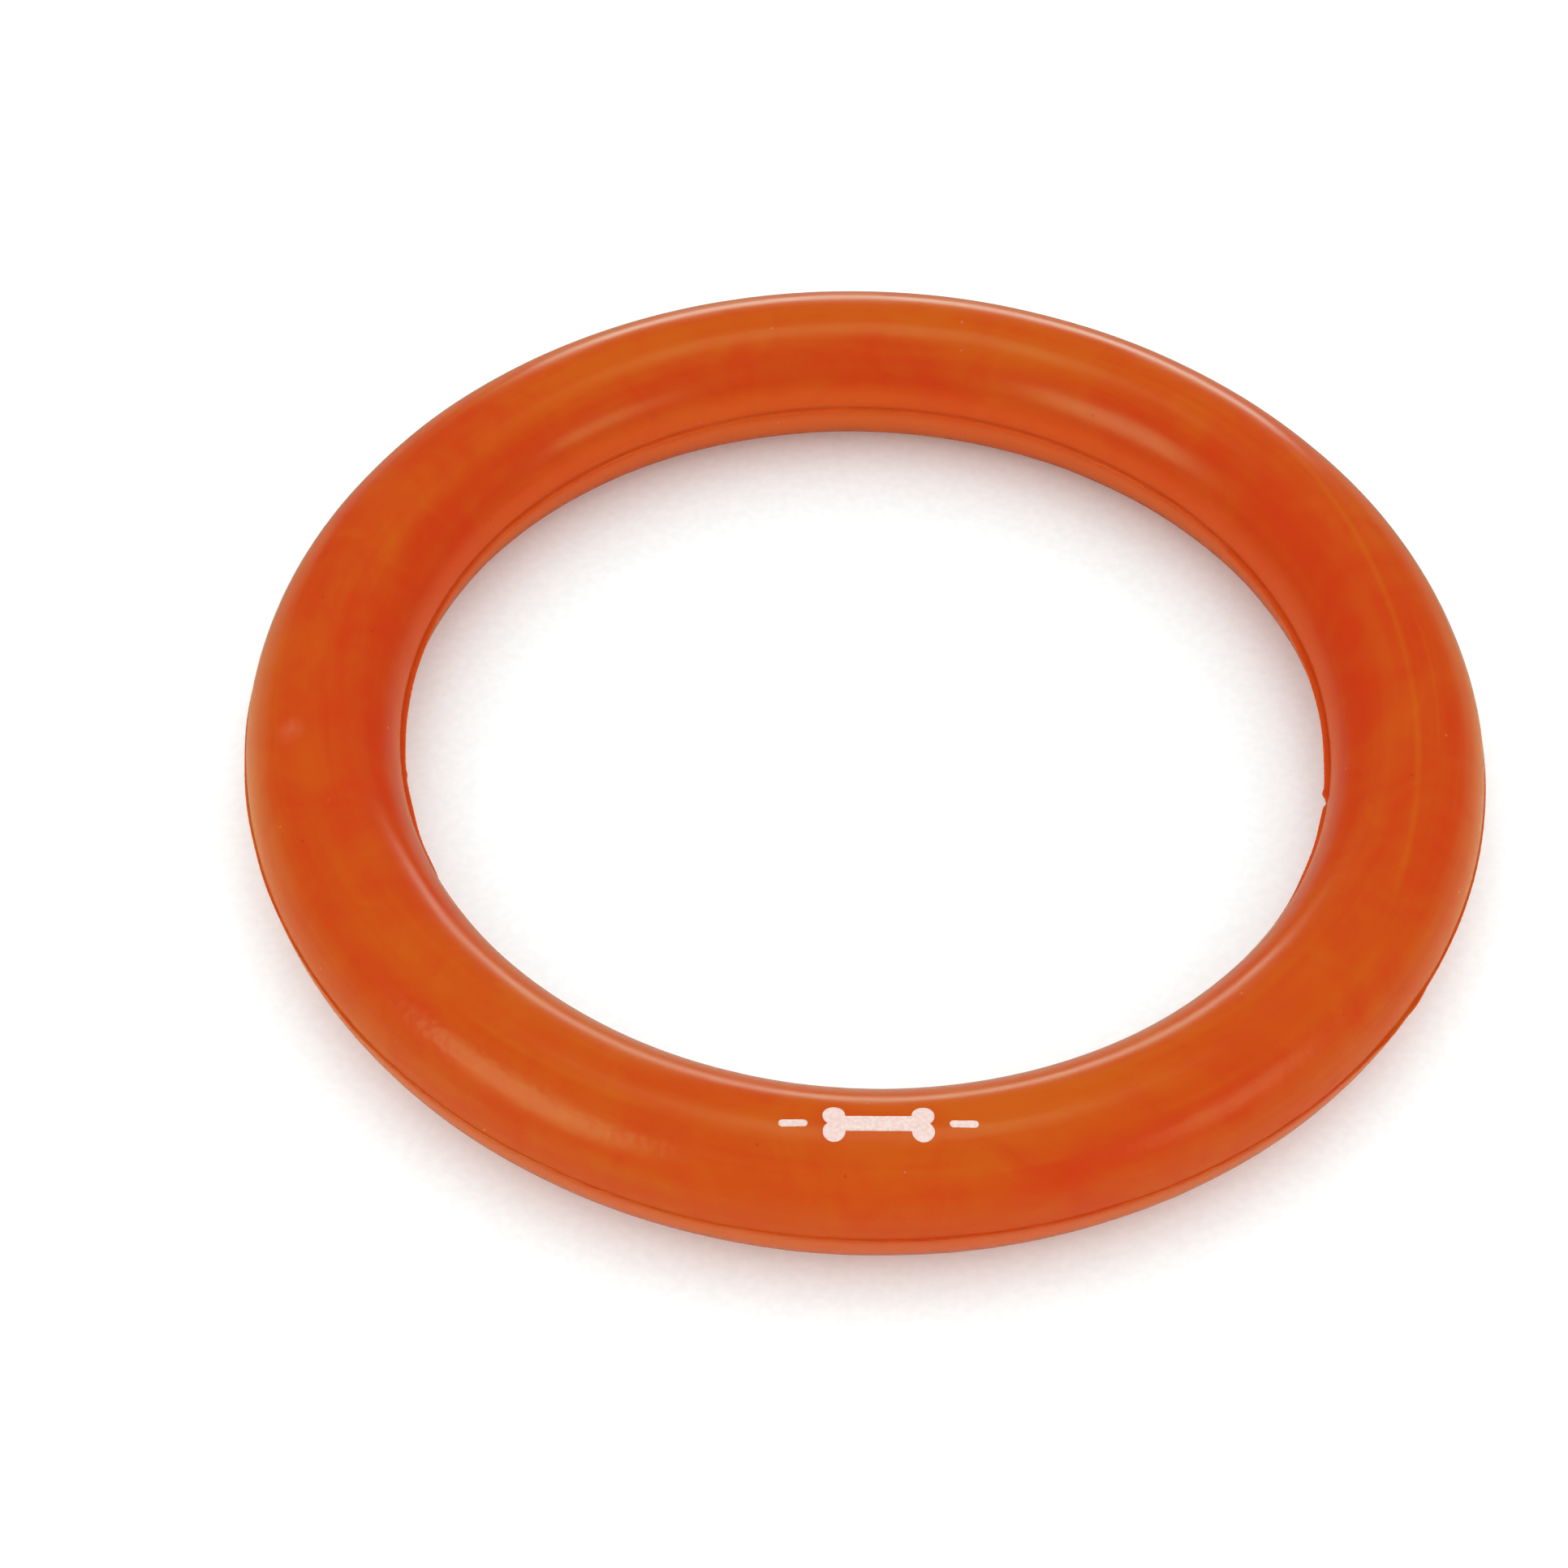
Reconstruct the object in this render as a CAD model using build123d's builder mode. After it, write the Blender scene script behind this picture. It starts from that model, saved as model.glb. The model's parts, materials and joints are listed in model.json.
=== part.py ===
"""Throwing ring of solid rubber, moulded in two halves that meet at a seam around its middle.

Millimetres. The origin is the centre of the ring, in the seam's plane. +Z is the ring's axis, and points
up as the ring lies flat. The printed mark is on the crown, centred on -Y.
"""

import os

from build123d import *

# Driving dimensions
RING_DIAMETER = 150.0  # across the rubber, without the seam's rims
TUBE_WIDTH = 18.7  # the tube's section, from the hole to the outside
TUBE_HEIGHT = 18.3  # the tube's section, from base to crown: a little flatter than round

OUTER_RIM_REACH = 0.3  # how far the rim of squeezed-out rubber stands proud, outside
INNER_RIM_REACH = 0.5  # and inside the hole, where it is harder to trim
RIM_EDGE = 0.4  # a rim's thickness at its trimmed edge
RIM_ROOT = 0.9  # a rim's thickness where it leaves the tube
RIM_OVERLAP = 0.5  # how deep a rim's outline starts in the tube, before the tube is cut from it

INK_THICKNESS = 0.08  # screen-printed ink
BONE_LENGTH = 12.3
BONE_HEIGHT = 4.6
BONE_SHAFT = 2.0  # the bone's height between its ends
KNOB_RADIUS = 1.25  # each of the four rounded ends of the bone
BAR_LENGTH = 3.2
BAR_HEIGHT = 0.9
MARK_LENGTH = 22.0  # over the bars on both sides of the bone

# Worked out from them
MEAN_RADIUS = (RING_DIAMETER - TUBE_WIDTH) / 2
HALF_WIDTH = TUBE_WIDTH / 2
HALF_HEIGHT = TUBE_HEIGHT / 2
OUTER_EDGE = MEAN_RADIUS + HALF_WIDTH + OUTER_RIM_REACH
INNER_EDGE = MEAN_RADIUS - HALF_WIDTH - INNER_RIM_REACH


def tube_section(side):
    """Half of the tube's oval section: above the seam for Align.MIN, below it for Align.MAX."""
    with Locations((MEAN_RADIUS, 0)):
        Ellipse(HALF_WIDTH, HALF_HEIGHT)
        Rectangle(TUBE_WIDTH, TUBE_HEIGHT, align=(Align.CENTER, side), mode=Mode.INTERSECT)


def rim_section(root, edge):
    """A rim's tapered section, from the radius root inside the tube to its trimmed edge outside it."""
    Polygon(
        (root, -RIM_ROOT / 2),
        (edge, -RIM_EDGE / 2),
        (edge, RIM_EDGE / 2),
        (root, RIM_ROOT / 2),
        align=None,
    )
    with Locations((MEAN_RADIUS, 0)):
        Ellipse(HALF_WIDTH, HALF_HEIGHT, mode=Mode.SUBTRACT)


def mark_outline():
    """The printed mark seen from above: a bone with a short bar on each side of it."""
    knob_x = BONE_LENGTH / 2 - KNOB_RADIUS
    knob_y = BONE_HEIGHT / 2 - KNOB_RADIUS
    Rectangle(2 * knob_x, BONE_SHAFT)
    with GridLocations(2 * knob_x, 2 * knob_y, 2, 2):
        Circle(KNOB_RADIUS)
    with GridLocations(MARK_LENGTH - BAR_LENGTH, 0, 2, 1):
        SlotOverall(BAR_LENGTH, BAR_HEIGHT)


with BuildPart() as upper_half:
    with BuildSketch(Plane.XZ):
        tube_section(Align.MIN)
    revolve(axis=Axis.Z)

with BuildPart() as lower_half:
    with BuildSketch(Plane.XZ):
        tube_section(Align.MAX)
    revolve(axis=Axis.Z)

with BuildPart() as outer_seam_rim:
    with BuildSketch(Plane.XZ):
        rim_section(MEAN_RADIUS + HALF_WIDTH - RIM_OVERLAP, OUTER_EDGE)
    revolve(axis=Axis.Z)

with BuildPart() as inner_seam_rim:
    with BuildSketch(Plane.XZ):
        rim_section(MEAN_RADIUS - HALF_WIDTH + RIM_OVERLAP, INNER_EDGE)
    revolve(axis=Axis.Z)

# A skin of ink over the whole crown, cut to the mark's outline. Its underside is the rubber's own surface.
with BuildPart() as printed_mark:
    with BuildSketch(Plane.XZ):
        with Locations((MEAN_RADIUS, 0)):
            Ellipse(HALF_WIDTH + INK_THICKNESS, HALF_HEIGHT + INK_THICKNESS)
            Ellipse(HALF_WIDTH, HALF_HEIGHT, mode=Mode.SUBTRACT)
            Rectangle(
                TUBE_WIDTH, TUBE_HEIGHT, align=(Align.CENTER, Align.MIN), mode=Mode.INTERSECT
            )
    revolve(axis=Axis.Z)
    with BuildSketch(Plane.XY.offset(HALF_HEIGHT / 2)):
        with Locations((0, -MEAN_RADIUS)):
            mark_outline()
    extrude(amount=HALF_HEIGHT, mode=Mode.INTERSECT)

PIECES = {
    "upper_half": upper_half,
    "lower_half": lower_half,
    "outer_seam_rim": outer_seam_rim,
    "inner_seam_rim": inner_seam_rim,
    "printed_mark": printed_mark,
}

os.makedirs("parts", exist_ok=True)
for name, piece in PIECES.items():
    piece.part.label = name
    export_step(piece.part, f"parts/{name}.step")
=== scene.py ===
"""The looks of a solid rubber throwing ring: its two moulded halves, the ragged rims along their seam,
the printed mark, and a plain studio.

Metres, in the CAD model's frame: the origin is the ring's centre, in the plane of the seam, and +Z is up.
A place on the ring is given by two angles. Theta goes round the ring, from +X towards +Y. Phi goes round
the tube's section: 0 faces outwards, 90 degrees is the crown, 180 faces the hole and 270 is underneath.
"""

import json
import math

import bpy
import numpy as np
from mathutils import Matrix, Vector


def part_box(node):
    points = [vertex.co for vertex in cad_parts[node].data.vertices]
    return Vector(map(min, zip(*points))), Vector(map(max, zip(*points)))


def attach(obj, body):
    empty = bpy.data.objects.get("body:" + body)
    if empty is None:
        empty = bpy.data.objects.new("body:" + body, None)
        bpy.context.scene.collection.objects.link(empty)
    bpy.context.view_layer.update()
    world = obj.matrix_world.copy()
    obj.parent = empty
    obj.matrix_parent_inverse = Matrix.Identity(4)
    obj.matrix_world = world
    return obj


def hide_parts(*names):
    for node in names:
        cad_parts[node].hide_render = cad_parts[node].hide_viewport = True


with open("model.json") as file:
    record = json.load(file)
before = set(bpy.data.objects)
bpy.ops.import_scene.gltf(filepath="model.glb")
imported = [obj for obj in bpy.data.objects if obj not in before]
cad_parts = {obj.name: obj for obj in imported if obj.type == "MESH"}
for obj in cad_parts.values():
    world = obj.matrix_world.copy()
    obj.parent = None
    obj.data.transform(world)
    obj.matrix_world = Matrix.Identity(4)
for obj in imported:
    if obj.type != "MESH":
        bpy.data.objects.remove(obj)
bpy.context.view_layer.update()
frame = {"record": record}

MM = 0.001
TURN = 2 * math.pi
SQUARE = ((0, 0), (1, 0), (1, 1), (0, 1))  # the corners of a grid's cell, counted from its lowest one

# ---------------------------------------------------------------------------------------------------------
# Sizes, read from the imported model
# ---------------------------------------------------------------------------------------------------------

MOUNTS = {mount["name"]: mount for mount in frame["record"]["mounts"]}
INNER_RIM_REACH = 0.5 * MM  # of the CAD rim, proud of the hole's wall
INK_THICKNESS = 0.08 * MM  # of the CAD film

OUTER_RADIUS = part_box("upper_half")[1].x
HOLE_RADIUS = MOUNTS["peg_hole"]["dims"]["r_mm"] * MM + INNER_RIM_REACH
HALF_HEIGHT = min(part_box("upper_half")[1].z, -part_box("lower_half")[0].z)
HALF_WIDTH = (OUTER_RADIUS - HOLE_RADIUS) / 2
MEAN_RADIUS = (OUTER_RADIUS + HOLE_RADIUS) / 2
FLOOR_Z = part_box("lower_half")[0].z
MARK_LOW, MARK_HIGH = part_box("printed_mark")


# ---------------------------------------------------------------------------------------------------------
# Mesh helpers
# ---------------------------------------------------------------------------------------------------------

def mesh_object(name, vertices, faces, smooth=True):
    """An object in the scene made of these vertices and faces."""
    mesh = bpy.data.meshes.new(name)
    mesh.from_pydata(vertices.tolist(), [], faces)
    mesh.validate()
    mesh.polygons.foreach_set("use_smooth", [smooth] * len(mesh.polygons))
    mesh.update()
    piece = bpy.data.objects.new(name, mesh)
    bpy.context.scene.collection.objects.link(piece)
    return piece


def swept_ring(name, theta, radius, height, sharp_angle=50):
    """A closed mesh from a closed section that changes on its way round the ring.

    radius and height have one row for each theta and one column for each point of the section.
    """
    steps, points = radius.shape
    places = np.stack([radius * np.cos(theta), radius * np.sin(theta), height], axis=-1)
    vertices = places.reshape(-1, 3)
    faces = []
    for i in range(steps):
        here, there = i * points, (i + 1) % steps * points
        for j in range(points):
            k = (j + 1) % points
            faces.append((here + j, there + j, there + k, here + k))
    piece = mesh_object(name, vertices, faces)
    piece.data.set_sharp_from_angle(angle=math.radians(sharp_angle))
    return piece


def waves(theta, phi, seed, around, across, count=24):
    """Smooth random waves on the ring, about -1 to 1.

    A turn of theta has from around[0] to around[1] of them, and a turn of phi has up to across of them.
    """
    rng = np.random.default_rng(seed)
    total = 0
    for _ in range(count):
        k = rng.integers(around[0], around[1] + 1)
        m = rng.integers(-across, across + 1)
        total = total + np.cos(k * theta + m * phi + rng.uniform(0, TURN))
    return total / math.sqrt(count) / 1.5


def bump(theta, centre, width):
    """1 at the angle centre, in degrees, falling smoothly to 0 about one width away, in degrees."""
    away = (np.degrees(theta) - centre + 180) % 360 - 180
    return np.exp(-((away / width) ** 2) * 3)


def stretch(theta, first, last, soft=1.0):
    """1 from the angle first to the angle last, in degrees and going up, with ends soft degrees long."""
    middle, half = (first + last) / 2, (last - first) / 2
    away = np.abs((np.degrees(theta) - middle + 180) % 360 - 180)
    return np.clip((half - away) / soft + 0.5, 0, 1)


# ---------------------------------------------------------------------------------------------------------
# The rubber halves
# ---------------------------------------------------------------------------------------------------------

HALF_STEPS = 1440  # round the ring
HALF_POINTS = 52  # over each half's curved side
SEAM_CROWDING = 0.07  # draws those points together towards the seam
OUT_OF_ROUND = 0.10 * MM  # how much the outline strays from a circle
UNEVENNESS = 0.022 * MM  # low swellings and hollows that make the highlights uneven
GROOVE_DEPTH = 0.13 * MM  # the crease where a seam rim meets the tube
GROOVE_SINE = 0.055  # the crease's place beside the seam, as the sine of phi
GROOVE_WIDTH = 0.020  # also as the sine of phi


def out_of_round(theta):
    """The tube's shift along its radius, in two and three lobes: 0 or less, so never outwards."""
    return -OUT_OF_ROUND * (0.5 + 0.33 * np.cos(2 * theta) + 0.17 * np.cos(3 * theta - 0.785))


def tube_surface(theta, phi, seed=1):
    """Radius and height of the rubber's skin, with the unevenness of a real moulding."""
    swell = UNEVENNESS * (waves(theta, phi, seed, (3, 26), 5) - 1)
    depth = GROOVE_DEPTH * (0.55 - 0.45 * np.cos(phi))  # full in the hole, faint on the outside
    from_groove = (np.abs(np.sin(phi)) - GROOVE_SINE) / GROOVE_WIDTH
    inset = swell - depth * np.exp(-(from_groove**2))
    radius = MEAN_RADIUS + out_of_round(theta) + (HALF_WIDTH + inset) * np.cos(phi)
    height = (HALF_HEIGHT + inset) * np.sin(phi)
    return radius, height


def rubber_half(name, side):
    """One half of the tube, closed by its flat face in the seam. side is 1 above the seam and -1 below."""
    theta = np.linspace(0, TURN, HALF_STEPS, endpoint=False)[:, None]
    ease = np.linspace(0, 1, HALF_POINTS)
    phi = side * math.pi * (ease - SEAM_CROWDING * np.sin(TURN * ease))[None, :]
    radius, height = tube_surface(theta, phi)
    if side < 0:
        radius, height = radius[:, ::-1], height[:, ::-1]
    return swept_ring(name, theta, radius, height)


# ---------------------------------------------------------------------------------------------------------
# The seam rims
# ---------------------------------------------------------------------------------------------------------

RIM_STEPS = 2880  # round the ring
RIM_ROOT_DEPTH = 0.35 * MM  # how deep a rim starts inside the tube
RIM_ROOT_THICKNESS = 0.62 * MM
RIM_EDGE_THICKNESS = 0.34 * MM
RIM_WANDER = 0.05 * MM  # up and down, off the seam's plane
RIM_THINNING = 0.12  # how much its thickness changes, as a share of it


def inner_reach(theta):
    """How far the rim stands into the hole: widest on the right, torn in a few places.

    It is summed up in millimetres.
    """
    wide_right = stretch(theta, -10.1, 34, soft=0.6) * (1 - 0.4 * stretch(theta, 12, 48, soft=22))
    torn_lip = bump(theta, -9.5, 0.8)
    notch = bump(theta, -11.2, 1.0)
    past_notch = stretch(theta, -36, -12, soft=6)
    wide_left = stretch(theta, 164, 205, soft=14)
    nib = bump(theta, 187.6, 0.9)
    cut_short = stretch(theta, 205, 214, soft=1.0)
    ragged = waves(theta, 0, 12, (200, 700), 0, count=40)
    reach = 0.26 + 0.05 * waves(theta, 0, 11, (5, 40), 0)
    reach = reach + 0.30 * wide_right + 0.20 * wide_left + 0.12 * nib
    reach = reach + 0.10 * torn_lip - 0.26 * notch + 0.10 * past_notch - 0.12 * cut_short
    return MM * np.clip(reach + 0.018 * ragged, 0.06, 0.66)


def outer_reach(theta):
    """How far the rim stands out of the ring: trimmed close, and torn ragged in one place.

    It is summed up in millimetres.
    """
    reach = 0.19 + 0.035 * waves(theta, 0, 21, (5, 40), 0)
    torn = stretch(theta, -39.4, -31.4, soft=1.2)  # at the near right
    tatters = waves(theta, 0, 22, (30, 110), 0, count=30)
    ragged = waves(theta, 0, 23, (200, 700), 0, count=40)
    reach = reach + torn * (0.13 + 0.10 * tatters) + 0.012 * ragged
    return MM * np.clip(reach, 0.04, 0.28 + 0.24 * torn)


def seam_rim(name, wall_radius, direction, reach, wander_seed):
    """A rim of rubber along the seam. direction is 1 on the outside and -1 in the hole."""
    theta = np.linspace(0, TURN, RIM_STEPS, endpoint=False)[:, None]
    proud = reach(theta)
    wander = RIM_WANDER * waves(theta, 0, wander_seed, (4, 60), 0)
    thickness = 1 + RIM_THINNING * waves(theta, 0, wander_seed + 1, (20, 160), 0)
    root, edge = RIM_ROOT_THICKNESS / 2, RIM_EDGE_THICKNESS / 2
    outline = [  # share of the reach, depth behind the wall, height
        (0.0, -RIM_ROOT_DEPTH, -root),
        (0.0, 0.0, -root * 0.92),
        (0.45, 0.0, -root * 0.72),
        (0.85, 0.0, -edge),
        (1.0, 0.0, -edge * 0.55),
        (1.0, 0.0, edge * 0.55),
        (0.85, 0.0, edge),
        (0.45, 0.0, root * 0.72),
        (0.0, 0.0, root * 0.92),
        (0.0, -RIM_ROOT_DEPTH, root),
    ]
    columns = [
        (wall_radius + out_of_round(theta) + direction * (share * proud + depth), wander + thickness * z)
        for share, depth, z in outline
    ]
    radius = np.concatenate([column[0] for column in columns], axis=1)
    height = np.concatenate([column[1] for column in columns], axis=1)
    if direction < 0:
        radius, height = radius[:, ::-1], height[:, ::-1]
    return swept_ring(name, theta, radius, height, sharp_angle=60)


# ---------------------------------------------------------------------------------------------------------
# The printed mark
# ---------------------------------------------------------------------------------------------------------

INK_CELL = 0.085 * MM  # of the grid that the film is built on
INK_WOBBLE = 0.012 * MM
INK_RISE = 0.75 * INK_THICKNESS  # of the film's top above the rubber
EDGE_RISE = 0.35 * INK_RISE
INK_SINK = 0.03 * MM  # how far the film's underside lies inside the rubber
BONE_LENGTH = 12.3 * MM
BONE_SHAFT = 2.0 * MM
KNOB_RADIUS = 1.25 * MM
BAR_LENGTH = 3.2 * MM
BAR_HEIGHT = 0.9 * MM


def box_distance(x, y, half_x, half_y):
    """Signed distance to a rectangle centred on the origin, below 0 inside it."""
    dx, dy = np.abs(x) - half_x, np.abs(y) - half_y
    return np.hypot(np.maximum(dx, 0), np.maximum(dy, 0)) + np.minimum(np.maximum(dx, dy), 0)


def mark_distance(x, y):
    """Signed distance to the mark, a bone between two short bars, below 0 on the ink."""
    length, height = MARK_HIGH.x - MARK_LOW.x, MARK_HIGH.y - MARK_LOW.y
    knob_x, knob_y = BONE_LENGTH / 2 - KNOB_RADIUS, height / 2 - KNOB_RADIUS
    bone = box_distance(x, y, knob_x, BONE_SHAFT / 2)
    knobs = np.hypot(np.abs(x) - knob_x, np.abs(y) - knob_y) - KNOB_RADIUS
    bar_x = length / 2 - BAR_LENGTH / 2
    bars = box_distance(np.abs(x) - bar_x, y, BAR_LENGTH / 2 - BAR_HEIGHT / 2, 0) - BAR_HEIGHT / 2
    return np.minimum(np.minimum(bone, knobs), bars)


def edge_wobble(x, y, count=30):
    """How far the ink's outline strays from the drawing, as it does in a screen print."""
    rng = np.random.default_rng(31)
    wobble = 0
    for _ in range(count):
        k = rng.normal(0, 3.2 / MM, 2)
        wobble = wobble + np.cos(k[0] * x + k[1] * y + rng.uniform(0, TURN))
    return INK_WOBBLE * wobble / math.sqrt(count)


def used_corners(kept):
    """Which corners of the grid the kept cells use, and which of those lie at the edge of the ink."""
    rows, columns = kept.shape
    used = np.zeros((rows + 1, columns + 1), bool)
    cells_around = np.zeros(used.shape, int)
    for di, dj in SQUARE:
        used[di:di + rows, dj:dj + columns] |= kept
        cells_around[di:di + rows, dj:dj + columns] += kept
    return used, used & (cells_around < 4)


def pull_to_outline(x, y, distance, edge):
    """Moves the corners at the edge of the ink to where the distance to its outline is 0."""
    step = INK_CELL / 8
    slope_x = (mark_distance(x + step, y) - mark_distance(x - step, y)) / (2 * step)
    slope_y = (mark_distance(x, y + step) - mark_distance(x, y - step)) / (2 * step)
    shift = np.clip(np.where(edge, distance, 0), -INK_CELL, INK_CELL)
    return x - slope_x * shift, y - slope_y * shift


def skin_height(x, y):
    """The height of the rubber's crown at x and y."""
    theta = np.arctan2(y, x)
    offset = (np.hypot(x, y) - MEAN_RADIUS - out_of_round(theta)) / HALF_WIDTH
    return tube_surface(theta, np.arccos(np.clip(offset, -1, 1)))[1]


def film_faces(kept, number, count):
    """The top and the underside of each kept cell, and a wall wherever its neighbour isn't kept."""
    padded = np.pad(kept, 1)
    faces = []
    for i, j in np.argwhere(kept):
        a, b, c, d = (number[i + di, j + dj] for di, dj in SQUARE)
        faces.append((a, b, c, d))
        faces.append((count + d, count + c, count + b, count + a))
        for di, dj, first, last in ((-1, 0, d, a), (1, 0, b, c), (0, -1, a, b), (0, 1, c, d)):
            if not padded[i + 1 + di, j + 1 + dj]:
                faces.append((last, first, count + first, count + last))
    return faces


def printed_mark():
    """The ink as a thin closed film that follows the crown, thinner at its edge."""
    centre_y = (MARK_LOW.y + MARK_HIGH.y) / 2
    border = 2 * INK_CELL
    xs = np.arange(MARK_LOW.x - border, MARK_HIGH.x + border, INK_CELL)
    ys = np.arange(MARK_LOW.y - border, MARK_HIGH.y + border, INK_CELL) - centre_y
    x, y = np.meshgrid(xs, ys, indexing="ij")
    distance = mark_distance(x, y) + edge_wobble(x, y)
    corners = np.stack([distance[:-1, :-1], distance[1:, :-1], distance[1:, 1:], distance[:-1, 1:]])
    kept = corners.mean(axis=0) < 0
    used, edge = used_corners(kept)
    x, y = pull_to_outline(x, y, distance, edge)

    skin = skin_height(x, y + centre_y)
    rise = np.where(edge, EDGE_RISE, INK_RISE)
    top = np.stack([x[used], y[used] + centre_y, (skin + rise)[used]], axis=-1)
    under = top.copy()
    under[:, 2] = (skin - INK_SINK)[used]
    number = -np.ones(x.shape, int)
    number[used] = np.arange(used.sum())
    return mesh_object("ink_mark", np.concatenate([top, under]), film_faces(kept, number, len(top)))


# ---------------------------------------------------------------------------------------------------------
# Materials
# ---------------------------------------------------------------------------------------------------------

class Nodes:
    """A material's node tree, with short ways to add and join its nodes."""

    def __init__(self, name):
        self.material = bpy.data.materials.new(name)
        self.material.use_nodes = True
        self.tree = self.material.node_tree
        self.shader = next(n for n in self.tree.nodes if n.type == "BSDF_PRINCIPLED")

    def add(self, kind, **values):
        """A new node of this kind, with these settings."""
        node = self.tree.nodes.new("ShaderNode" + kind)
        for key, value in values.items():
            setattr(node, key, value)
        return node

    def join(self, source, target):
        """Links an output socket to an input socket."""
        self.tree.links.new(source, target)

    def feed(self, socket, value):
        """Sets a socket to a number, or joins another socket to it."""
        if isinstance(value, (int, float)):
            socket.default_value = value
        else:
            self.join(value, socket)

    def math(self, operation, *values):
        """The result of this operation on numbers and sockets."""
        node = self.add("Math", operation=operation)
        for socket, value in zip(node.inputs, values):
            self.feed(socket, value)
        return node.outputs[0]

    def spread(self, value, low, high, to_low=0.0, to_high=1.0):
        """Maps low..high to to_low..to_high, smoothly and clamped."""
        node = self.add("MapRange", interpolation_type="SMOOTHSTEP")
        self.feed(node.inputs["Value"], value)
        for key, number in (("From Min", low), ("From Max", high), ("To Min", to_low), ("To Max", to_high)):
            self.feed(node.inputs[key], number)
        return node.outputs[0]

    def mix(self, factor, first, second):
        """A mix of two colours, each a socket or three numbers."""
        node = self.add("Mix", data_type="RGBA", clamp_factor=True)
        self.feed(node.inputs[0], factor)
        for socket, colour in ((node.inputs[6], first), (node.inputs[7], second)):
            if isinstance(colour, tuple):
                socket.default_value = (*colour, 1)
            else:
                self.join(colour, socket)
        return node.outputs[2]

    def noise(self, vector, w=None, scale=1.0, detail=2.0, roughness=0.5, distortion=0.0):
        """Noise at a point, or at a point in four dimensions if there is a w."""
        node = self.add("TexNoise", noise_dimensions="3D" if w is None else "4D")
        node.inputs["Scale"].default_value = scale
        node.inputs["Detail"].default_value = detail
        node.inputs["Roughness"].default_value = roughness
        node.inputs["Distortion"].default_value = distortion
        self.join(vector, node.inputs["Vector"])
        if w is not None:
            self.feed(node.inputs["W"], w)
        return node.outputs["Fac"]

    def vector(self, x, y, z):
        """A vector made of three numbers or sockets."""
        node = self.add("CombineXYZ")
        for socket, value in zip(node.inputs, (x, y, z)):
            self.feed(socket, value)
        return node.outputs[0]

    def point(self):
        """The point on the surface, in metres."""
        return self.add("TexCoord").outputs["Object"]

    def point_in_mm(self):
        """The point on the surface, in millimetres."""
        node = self.add("VectorMath", operation="SCALE")
        self.join(self.point(), node.inputs[0])
        node.inputs["Scale"].default_value = 1 / MM
        return node.outputs[0]

    def split(self, vector):
        """The three parts of a vector."""
        node = self.add("SeparateXYZ")
        self.join(vector, node.inputs[0])
        return tuple(node.outputs)


def ring_angles(nodes):
    """Sockets for the cosine and sine of theta, and the cosine and sine of phi."""
    x, y, z = nodes.split(nodes.point())
    squares = nodes.math("ADD", nodes.math("MULTIPLY", x, x), nodes.math("MULTIPLY", y, y))
    radius = nodes.math("SQRT", squares)
    cos_theta = nodes.math("DIVIDE", x, radius)
    sin_theta = nodes.math("DIVIDE", y, radius)
    cos_phi = nodes.math("DIVIDE", nodes.math("SUBTRACT", radius, MEAN_RADIUS), HALF_WIDTH)
    sin_phi = nodes.math("DIVIDE", z, HALF_HEIGHT)
    return cos_theta, sin_theta, cos_phi, sin_phi


REDDER = (0.415, 0.033, 0.006)
ORANGER = (0.420, 0.080, 0.007)
PAINTED_FLOOR_BOUNCE = (0.53, 0.102, 0.022)  # painted light: lightens the lower half, as light from the floor would
PAINTED_HOLE_WALL_LIGHT = (0.54, 0.068, 0.008)  # painted light: brightens the wall of the hole, which lies in shade
DIRT_AND_CREASE_SHADE = (0.24, 0.022, 0.005)  # painted shade in the hole's crease above the seam, and real dirt in the dark specks
BLOOM = (0.52, 0.16, 0.08)  # chalky rubber in the scuff and the pale specks
CREASE_SHADE_REACH = 0.035  # how far the painted crease shade goes on each side of the crease, as the sine of phi
SCUFF_STRENGTH = 0.45
SPECK_STRENGTH = 0.55
SPECK_CELLS = 0.21  # to a millimetre, with one speck in each
SPECK_RADIUS = 0.05  # in cells
DARK_SPECKS = 0.45  # their share
LEAST_ROUGH, MOST_ROUGH = 0.20, 0.262
WEAR_HEIGHT = 0.05  # in millimetres
SKIN_HEIGHT = 0.01  # in millimetres
HIGHLIGHT_TINT = (0.30, 1.0, 0.42, 1)  # of what the rubber reflects face on


def along(nodes, angles, round_ring, round_tube, **settings):
    """Noise that is drawn out along the ring when round_tube is the larger, without a break anywhere."""
    cos_theta, sin_theta, cos_phi, sin_phi = angles
    vector = nodes.vector(
        nodes.math("MULTIPLY", cos_theta, round_ring),
        nodes.math("MULTIPLY", sin_theta, round_ring),
        nodes.math("MULTIPLY", cos_phi, round_tube),
    )
    return nodes.noise(vector, nodes.math("MULTIPLY", sin_phi, round_tube), **settings)


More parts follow.
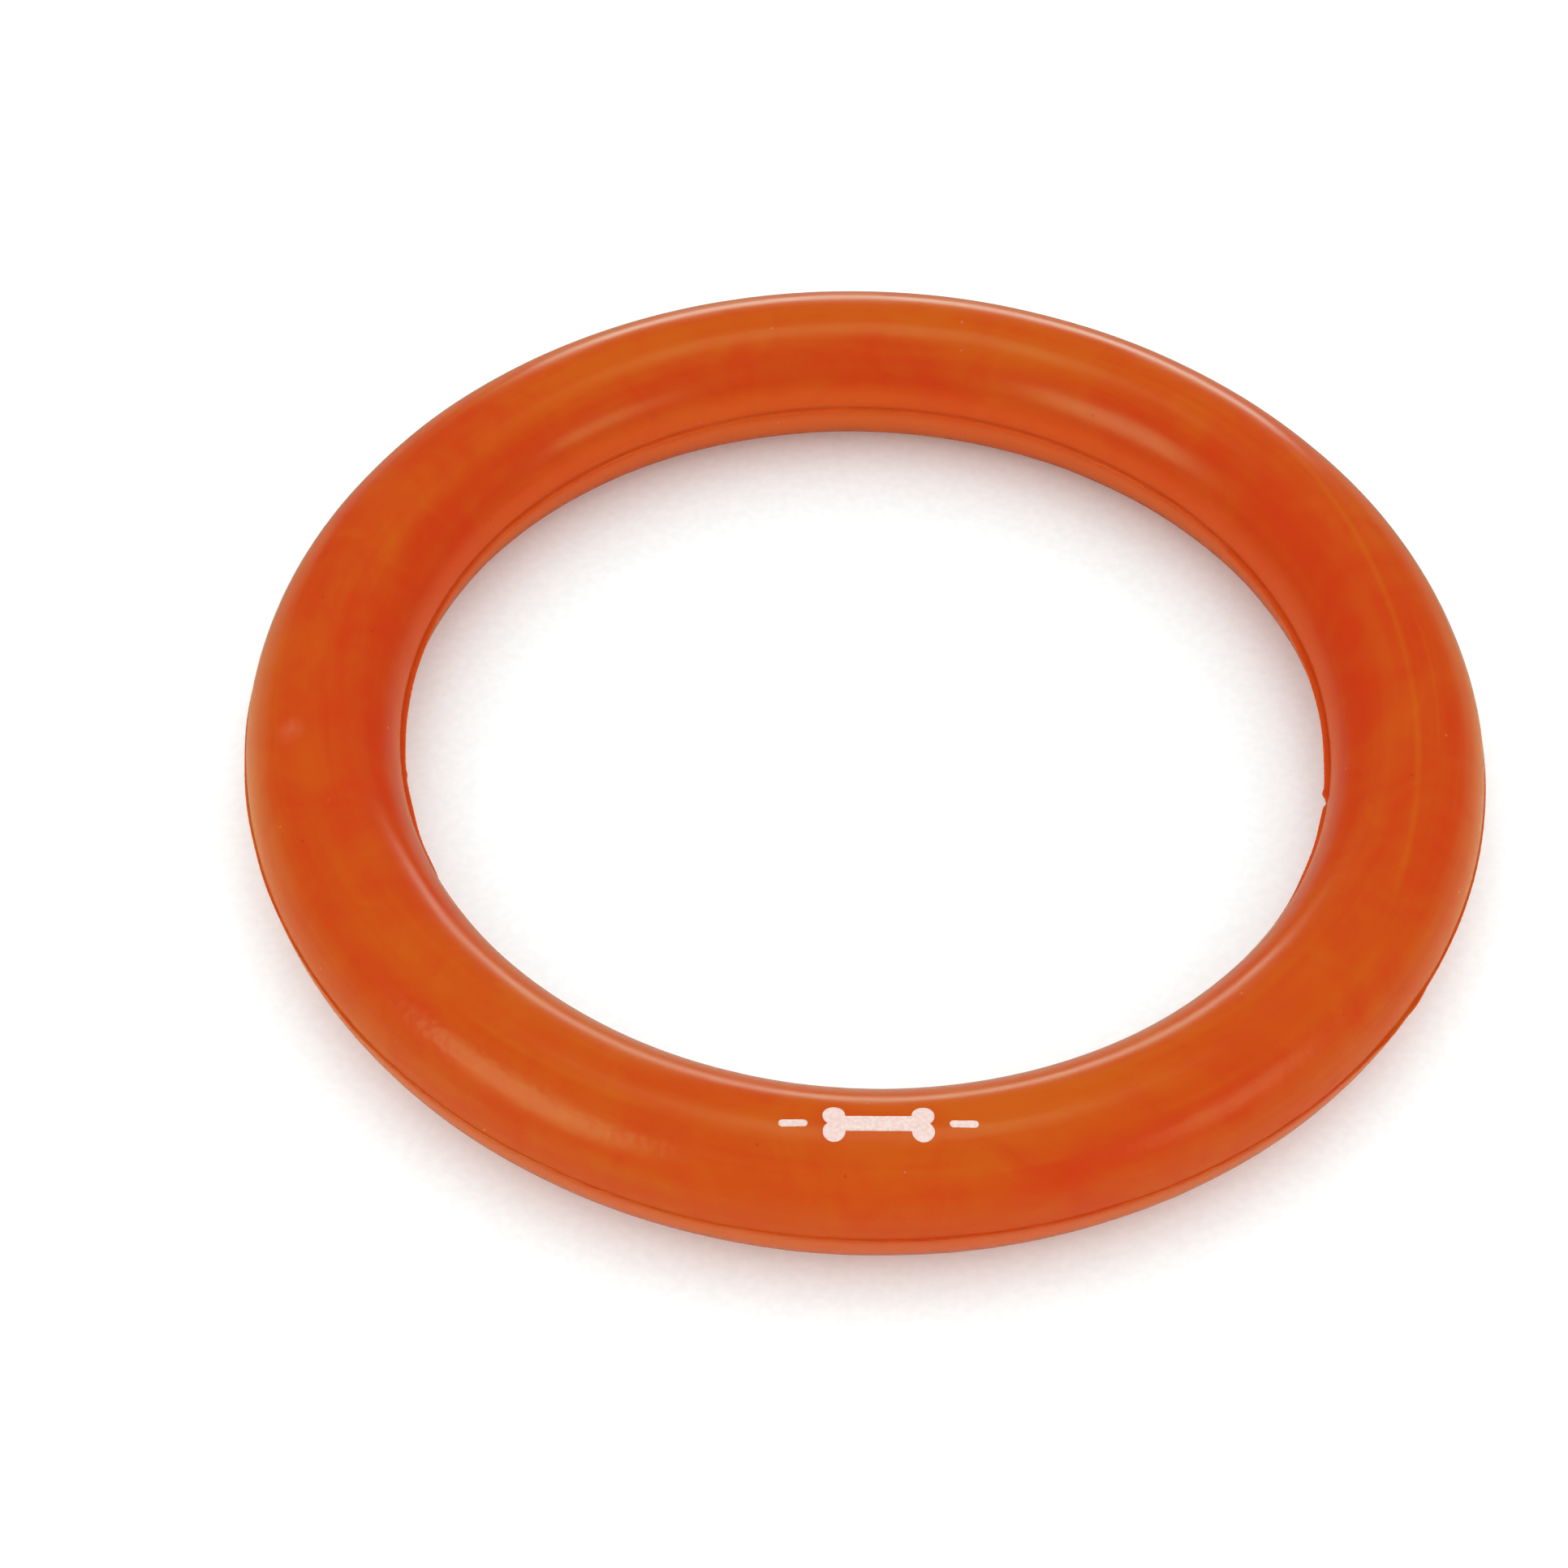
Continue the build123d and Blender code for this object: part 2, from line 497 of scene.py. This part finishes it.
def flow_and_shade_line(nodes, angles, theta, centre, bend, width, length):
    """A line along the ring, 1 on the line and 0 away from it: most mark where two streams of rubber met,
    and one is painted shade.

    It crosses the angle theta, in degrees, where the cosine of phi is centre, and bend carries it outwards
    on both sides of there. width is half its breadth, as a cosine of phi, and length is half its length, in
    degrees.
    """
    cos_theta, sin_theta, cos_phi = angles[:3]
    cos_middle, sin_middle = math.cos(math.radians(theta)), math.sin(math.radians(theta))
    sideways = nodes.math(
        "SUBTRACT",
        nodes.math("MULTIPLY", sin_theta, cos_middle),
        nodes.math("MULTIPLY", cos_theta, sin_middle),
    )
    facing = nodes.math(
        "ADD",
        nodes.math("MULTIPLY", cos_theta, cos_middle),
        nodes.math("MULTIPLY", sin_theta, sin_middle),
    )
    route = nodes.math("MULTIPLY_ADD", nodes.math("MULTIPLY", sideways, sideways), bend, centre)
    away = nodes.math("ABSOLUTE", nodes.math("SUBTRACT", cos_phi, route))
    ends = nodes.spread(facing, math.cos(math.radians(length)), math.cos(math.radians(length * 0.6)))
    return nodes.math("MULTIPLY", nodes.spread(away, width, 0.0), ends)


def spot(nodes, point, theta, phi, radius):
    """A soft spot on the skin at these angles, in degrees, and of this radius, in millimetres."""
    t, p = math.radians(theta), math.radians(phi)
    reach = (MEAN_RADIUS + HALF_WIDTH * math.cos(p)) / MM
    away = nodes.add("VectorMath", operation="DISTANCE")
    nodes.join(point, away.inputs[0])
    away.inputs[1].default_value = (
        reach * math.cos(t),
        reach * math.sin(t),
        HALF_HEIGHT / MM * math.sin(p),
    )
    return nodes.spread(away.outputs["Value"], radius, 0.0)


def rubber_tone(nodes, angles, point):
    """A sum that is low where the rubber is redder and high where it is oranger: random clouds, streaks and
    blotches, painted shade and painted light by place on the ring, and flow lines.
    """
    cos_theta, sin_theta, cos_phi = angles[:3]
    clouds = along(nodes, angles, 2.2, 1.1)
    streaks = along(nodes, angles, 1.6, 5.0, detail=2.5, distortion=0.7)
    blotches = nodes.noise(point, scale=0.13, detail=3.0, distortion=1.0)
    sides = nodes.math("MULTIPLY", cos_theta, cos_theta)
    near = nodes.spread(sin_theta, 0.1, -0.8)
    not_near = nodes.spread(sin_theta, -0.7, 0.0)
    painted_shade_outer_near = nodes.math("MULTIPLY", nodes.spread(cos_phi, 0.2, 0.8), near)
    painted_shade_inner_far = nodes.math("MULTIPLY", nodes.spread(cos_phi, -0.35, -0.7), not_near)
    painted_light_outer_sides = nodes.math("MULTIPLY", nodes.spread(cos_phi, 0.5, 0.85), sides)
    tone = 0.0
    for part, share in (
        (clouds, 0.46),
        (streaks, 0.22),
        (blotches, 0.32),
        # Painted shade and painted light by place on the ring: redder at the left and right sides, on the
        # outer side at the front, and on the hole's side of the far half; oranger on the outer side at the
        # left and right.
        (sides, -0.17),
        (painted_shade_outer_near, -0.13),
        (painted_shade_inner_far, -0.12),
        (painted_light_outer_sides, 0.15),
        (flow_and_shade_line(nodes, angles, theta=5, centre=-0.03, bend=1.0, width=0.075, length=40), 0.12),
        (flow_and_shade_line(nodes, angles, theta=1, centre=0.28, bend=0.0, width=0.05, length=11), 0.08),
        (flow_and_shade_line(nodes, angles, theta=-122, centre=0.26, bend=0.0, width=0.10, length=12), 0.08),
        (flow_and_shade_line(nodes, angles, theta=122, centre=0.35, bend=0.3, width=0.12, length=40), 0.07),
        # Painted shade, not a flow line: redder rubber at the near right, under the right softbox's
        # highlight, to dull that highlight.
        (flow_and_shade_line(nodes, angles, theta=-54, centre=0.68, bend=0.0, width=0.20, length=26), -0.07),
    ):
        tone = nodes.math("MULTIPLY_ADD", part, share, tone)
    return tone


def rubber_colour(nodes, angles, point):
    """Streaky orange, brighter on the hole's wall and paler below the seam in painted light, with painted
    shade in the hole's crease.
    """
    cos_phi, sin_phi = angles[2:]
    colour = nodes.mix(nodes.spread(rubber_tone(nodes, angles, point), 0.16, 0.66), REDDER, ORANGER)
    # Painted light: the wall of the hole is made brighter to make up for its shade.
    painted_light_on_hole_wall = nodes.spread(cos_phi, -0.86, -1.0, 0.0, 0.56)
    colour = nodes.mix(painted_light_on_hole_wall, colour, PAINTED_HOLE_WALL_LIGHT)
    # Painted light: the rubber below the seam is made paler, as if lit from the floor.
    painted_bounce_below_seam = nodes.spread(sin_phi, 0.03, -0.16, 0.0, 0.5)
    colour = nodes.mix(painted_bounce_below_seam, colour, PAINTED_FLOOR_BOUNCE)
    # Painted shade: the crease above the seam is darkened, most of all in the hole.
    from_crease = nodes.math("ABSOLUTE", nodes.math("SUBTRACT", sin_phi, GROOVE_SINE))
    in_hole = nodes.spread(cos_phi, -0.5, 0.5, 0.38, 0.0)
    painted_crease_shade = nodes.math("MULTIPLY", nodes.spread(from_crease, CREASE_SHADE_REACH, 0.0), in_hole)
    return nodes.mix(painted_crease_shade, colour, DIRT_AND_CREASE_SHADE)


def with_scuff(nodes, point, colour):
    """The colour with a chalky, patchy scuff on the crown at the left."""
    patchy = nodes.noise(point, scale=0.9, detail=3.0)
    scuff = nodes.math("MULTIPLY", spot(nodes, point, theta=-173.4, phi=68, radius=2.6), patchy)
    return nodes.mix(nodes.math("MULTIPLY", scuff, SCUFF_STRENGTH), colour, BLOOM)


def with_specks(nodes, point, colour):
    """The colour with fine specks, some pale and some dark."""
    cells = nodes.add("TexVoronoi", feature="F1")
    cells.inputs["Scale"].default_value = SPECK_CELLS
    nodes.join(point, cells.inputs["Vector"])
    speck = nodes.spread(cells.outputs["Distance"], SPECK_RADIUS, 0.6 * SPECK_RADIUS, 0.0, SPECK_STRENGTH)
    kind = nodes.add("SeparateColor")
    nodes.join(cells.outputs["Color"], kind.inputs[0])
    pale = nodes.math("GREATER_THAN", kind.outputs[0], DARK_SPECKS)
    return nodes.mix(speck, colour, nodes.mix(pale, DIRT_AND_CREASE_SHADE, BLOOM))


def skin_relief(nodes, angles, point):
    """The fine unevenness of the skin, with some wear on the outer side at the front."""
    sin_theta, cos_phi = angles[1:3]
    worn = nodes.math("MULTIPLY", nodes.spread(cos_phi, 0.1, 0.4), nodes.spread(sin_theta, -0.3, -0.7))
    wear = nodes.math("SUBTRACT", nodes.noise(point, scale=0.9, detail=1.0), 0.5)
    height = nodes.math("MULTIPLY", nodes.math("MULTIPLY", worn, wear), WEAR_HEIGHT)
    relief = nodes.add("Bump")
    relief.inputs["Strength"].default_value = 1.0
    relief.inputs["Distance"].default_value = MM
    skin = nodes.noise(point, scale=0.7)
    nodes.join(nodes.math("MULTIPLY_ADD", skin, SKIN_HEIGHT, height), relief.inputs["Height"])
    return relief.outputs[0]


def rubber_material():
    """Moulded rubber: uneven colour with streaks along the ring where it flowed, painted light and shade,
    specks and a fine skin.
    """
    nodes = Nodes("moulded_orange_rubber")
    angles = ring_angles(nodes)
    point = nodes.point_in_mm()
    colour = rubber_colour(nodes, angles, point)
    colour = with_scuff(nodes, point, colour)
    colour = with_specks(nodes, point, colour)
    nodes.join(colour, nodes.shader.inputs["Base Color"])
    gloss = along(nodes, angles, 5.0, 2.4, detail=1.0)
    roughness = nodes.spread(gloss, 0.3, 0.7, LEAST_ROUGH, MOST_ROUGH)
    nodes.join(roughness, nodes.shader.inputs["Roughness"])
    nodes.shader.inputs["IOR"].default_value = 1.5
    nodes.shader.inputs["Specular IOR Level"].default_value = 0.22
    nodes.shader.inputs["Specular Tint"].default_value = HIGHLIGHT_TINT
    nodes.join(skin_relief(nodes, angles, point), nodes.shader.inputs["Normal"])
    return nodes.material


THIN_INK = (0.60, 0.42, 0.37)  # the rubber tints it
FULL_INK = (0.66, 0.56, 0.535)


def ink_material():
    """White screen-printing ink, a little thin in places so that the rubber tints it."""
    nodes = Nodes("white_print_ink")
    cover = nodes.noise(nodes.point_in_mm(), scale=2.2, detail=4.0, roughness=0.6)
    colour = nodes.mix(nodes.spread(cover, 0.3, 0.72), THIN_INK, FULL_INK)
    nodes.join(colour, nodes.shader.inputs["Base Color"])
    nodes.join(nodes.spread(cover, 0.3, 0.7, 0.5, 0.65), nodes.shader.inputs["Roughness"])
    return nodes.material


# ---------------------------------------------------------------------------------------------------------
# Studio
# ---------------------------------------------------------------------------------------------------------

VIEW_AZIMUTH = math.radians(-1.43)  # the camera stands a little to the left of -Y
VIEW_ELEVATION = math.radians(48.87)
VIEW_ROLL = math.radians(1.543)
VIEW_DISTANCE = 7.690 * MEAN_RADIUS
AIM_RIGHT = -0.1483 * MEAN_RADIUS  # the point the camera looks at, left of the ring's centre
AIM_AWAY = -0.1320 * MEAN_RADIUS  # and nearer to the camera
LENS = 96.43
SENSOR = 36.0


def make_camera():
    """The camera, rolled a little about its line of sight."""
    right = Vector((math.cos(VIEW_AZIMUTH), math.sin(VIEW_AZIMUTH), 0))
    away = Vector((-math.sin(VIEW_AZIMUTH), math.cos(VIEW_AZIMUTH), 0))
    back = -away * math.cos(VIEW_ELEVATION) + Vector((0, 0, math.sin(VIEW_ELEVATION)))
    up = back.cross(right)
    rolled_right = right * math.cos(VIEW_ROLL) + up * math.sin(VIEW_ROLL)
    rolled_up = up * math.cos(VIEW_ROLL) - right * math.sin(VIEW_ROLL)
    aim = right * AIM_RIGHT + away * AIM_AWAY
    data = bpy.data.cameras.new("camera")
    data.lens = LENS
    data.sensor_width = SENSOR
    data.clip_start = 0.01
    data.clip_end = 20
    camera = bpy.data.objects.new("camera", data)
    bpy.context.scene.collection.objects.link(camera)
    turn = Matrix((rolled_right, rolled_up, back)).transposed()
    camera.matrix_world = Matrix.Translation(aim + back * VIEW_DISTANCE) @ turn.to_4x4()
    bpy.context.scene.camera = camera


SOFTBOX_DISTANCE = 1.2
BACK_PANEL_COLOUR = (0.75, 1.0, 1.0)
TENT_HALF = 1.5  # half the tent's width
TENT_HEIGHT = 1.5
ROOF_RADIANCE = 1.25
SIDE_RADIANCE = 1.6
NEAR_RADIANCE = 1.9
FAR_RADIANCE = 2.1
TABLE_RADIANCE = 0.5  # light that comes up through the floor and fills the ring's lower half


def area_light(name, direction, distance, wide, high, radiance):
    """A rectangular light, seen only by what it lights, that faces the ring from this direction."""
    data = bpy.data.lights.new(name, "AREA")
    data.shape = "RECTANGLE"
    data.size = wide
    data.size_y = high
    data.energy = radiance * math.pi * wide * high
    lamp = bpy.data.objects.new(name, data)
    bpy.context.scene.collection.objects.link(lamp)
    lamp.location = direction * distance
    lamp.rotation_mode = "QUATERNION"
    lamp.rotation_quaternion = direction.to_track_quat("Z", "Y")
    lamp.visible_camera = False
    return lamp


def softbox(name, azimuth, elevation, wide, high, radiance):
    """A light that only shows as a highlight, wide by high degrees across.

    It stands in the direction azimuth, in degrees from +X towards +Y, and elevation, in degrees.
    """
    a, e = math.radians(azimuth), math.radians(elevation)
    direction = Vector((math.cos(a) * math.cos(e), math.sin(a) * math.cos(e), math.sin(e)))
    across = [2 * SOFTBOX_DISTANCE * math.tan(math.radians(angle) / 2) for angle in (wide, high)]
    lamp = area_light(name, direction, SOFTBOX_DISTANCE, *across, radiance)
    lamp.visible_diffuse = False
    return lamp


def tent_panel(name, direction, distance, high, radiance, lift=0.0):
    """One side of a white tent round the set: even light, without a reflection in the rubber."""
    panel = area_light(name, Vector(direction), distance, 2 * TENT_HALF, high, radiance)
    panel.location.z += lift
    panel.visible_glossy = False
    panel.data.cycles.use_multiple_importance_sampling = False


def make_lights():
    """Softboxes for the highlights, and a tent for the even light."""
    softbox("left_softbox", azimuth=-148, elevation=33, wide=30, high=24, radiance=6.1)
    softbox("right_softbox", azimuth=-30, elevation=26, wide=24, high=15, radiance=4.0)
    softbox("overhead_softbox", azimuth=85, elevation=76, wide=24, high=18, radiance=2.8)
    back = softbox("back_panel", azimuth=85, elevation=3, wide=38, high=16, radiance=5.4)
    back.data.color = BACK_PANEL_COLOUR
    tent_panel("tent_roof", (0, 0, 1), TENT_HEIGHT, 2 * TENT_HALF, ROOF_RADIANCE)
    for name, direction, radiance in (
        ("left", (-1, 0, 0), SIDE_RADIANCE),
        ("right", (1, 0, 0), SIDE_RADIANCE),
        ("near", (0, -1, 0), NEAR_RADIANCE),
        ("far", (0, 1, 0), FAR_RADIANCE),
    ):
        tent_panel("tent_" + name, direction, TENT_HALF, TENT_HEIGHT, radiance, lift=TENT_HEIGHT / 2)
    tent_panel("light_table", (0, 0, -1), TENT_HEIGHT, 2 * TENT_HALF, TABLE_RADIANCE)


def make_world():
    """A white backdrop. It only shows: the tent and the softboxes give the light."""
    world = bpy.data.worlds.new("studio")
    world.use_nodes = True
    background = next(n for n in world.node_tree.nodes if n.type == "BACKGROUND")
    background.inputs["Color"].default_value = (1, 1, 1, 1)
    background.inputs["Strength"].default_value = 1.0
    world.cycles_visibility.diffuse = False
    world.cycles_visibility.glossy = False
    bpy.context.scene.world = world


PAPER = (0.83, 0.92, 0.925)
PAPER_GRAIN = (0.86, 0.95, 0.955)
LIFT = 0.1 * MM  # of the mirrored floor above the floor
MIRRORED_MIDDLE = (0.37, 0.48, 0.42)  # what the rubber reflects of the floor: in the middle,
MIRRORED_BESIDE = (0.70, 0.60, 0.36)  # to the left and right,
MIRRORED_BEYOND = (0.28, 0.28, 0.22)  # and behind the ring and far from it


def show_through_from_below(nodes):
    """Makes the back of a surface clear, so that the ring's underside can be seen from under the floor."""
    output = next(n for n in nodes.tree.nodes if n.type == "OUTPUT_MATERIAL")
    choice = nodes.add("MixShader")
    nodes.join(nodes.add("NewGeometry").outputs["Backfacing"], choice.inputs[0])
    nodes.join(nodes.shader.outputs[0], choice.inputs[1])
    nodes.join(nodes.add("BsdfTransparent").outputs[0], choice.inputs[2])
    nodes.join(choice.outputs[0], output.inputs["Surface"])


def paper_material():
    """White paper with a fine grain, clear from below."""
    nodes = Nodes("white_paper")
    grain = nodes.noise(nodes.point(), scale=900)
    colour = nodes.mix(nodes.spread(grain, 0.3, 0.7), PAPER, PAPER_GRAIN)
    nodes.join(colour, nodes.shader.inputs["Base Color"])
    nodes.shader.inputs["Roughness"].default_value = 0.9
    nodes.shader.inputs["Specular IOR Level"].default_value = 0.0
    show_through_from_below(nodes)
    return nodes.material


def dim_paper_material():
    """The floor as the rubber reflects it: dimmer behind the ring and far from it."""
    nodes = Nodes("dim_paper")
    point = nodes.point()
    x, y, _ = nodes.split(point)
    reach = nodes.add("VectorMath", operation="LENGTH")
    nodes.join(point, reach.inputs[0])
    beside = nodes.spread(nodes.math("ABSOLUTE", x), 0.03, 0.08)
    behind = nodes.spread(y, -0.018, 0.054)
    beyond = nodes.spread(reach.outputs["Value"], 0.085, 0.13)
    colour = nodes.mix(beside, MIRRORED_MIDDLE, MIRRORED_BESIDE)
    colour = nodes.mix(nodes.math("MAXIMUM", behind, beyond), colour, MIRRORED_BEYOND)
    nodes.join(colour, nodes.shader.inputs["Base Color"])
    nodes.shader.inputs["Roughness"].default_value = 1.0
    nodes.shader.inputs["Specular IOR Level"].default_value = 0.0
    return nodes.material


def level_square(name, z, material):
    """A level square as wide as the tent, at the height z."""
    half = TENT_HALF
    vertices = np.array([(-half, -half, z), (half, -half, z), (half, half, z), (-half, half, z)])
    square = mesh_object(name, vertices, [(0, 1, 2, 3)], smooth=False)
    square.data.materials.append(material)
    square.visible_shadow = False
    return square


def make_floor():
    """The floor, and a second one just above it that only shows in the rubber's reflections."""
    floor = level_square("floor", FLOOR_Z, paper_material())
    floor.visible_glossy = False
    mirrored = level_square("floor_in_gloss", FLOOR_Z + LIFT, dim_paper_material())
    mirrored.visible_camera = False
    mirrored.visible_diffuse = False


# ---------------------------------------------------------------------------------------------------------
# Putting it together
# ---------------------------------------------------------------------------------------------------------

def install(piece, node, material):
    """Gives a piece its material and its place on the body, and hides the CAD node it stands for."""
    piece.data.materials.append(material)
    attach(piece, "root")
    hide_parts(node)


def make_ring():
    """The five visual pieces, each in the place of its CAD node."""
    rubber = rubber_material()
    install(rubber_half("rubber_upper_half", 1), "upper_half", rubber)
    install(rubber_half("rubber_lower_half", -1), "lower_half", rubber)
    outer = seam_rim("outer_flash_rim", OUTER_RADIUS, 1, outer_reach, 41)
    install(outer, "outer_seam_rim", rubber)
    inner = seam_rim("inner_flash_rim", HOLE_RADIUS, -1, inner_reach, 43)
    install(inner, "inner_seam_rim", rubber)
    install(printed_mark(), "printed_mark", ink_material())


bpy.context.scene.view_settings.view_transform = "Standard"
make_camera()
make_world()
make_lights()
make_floor()
make_ring()
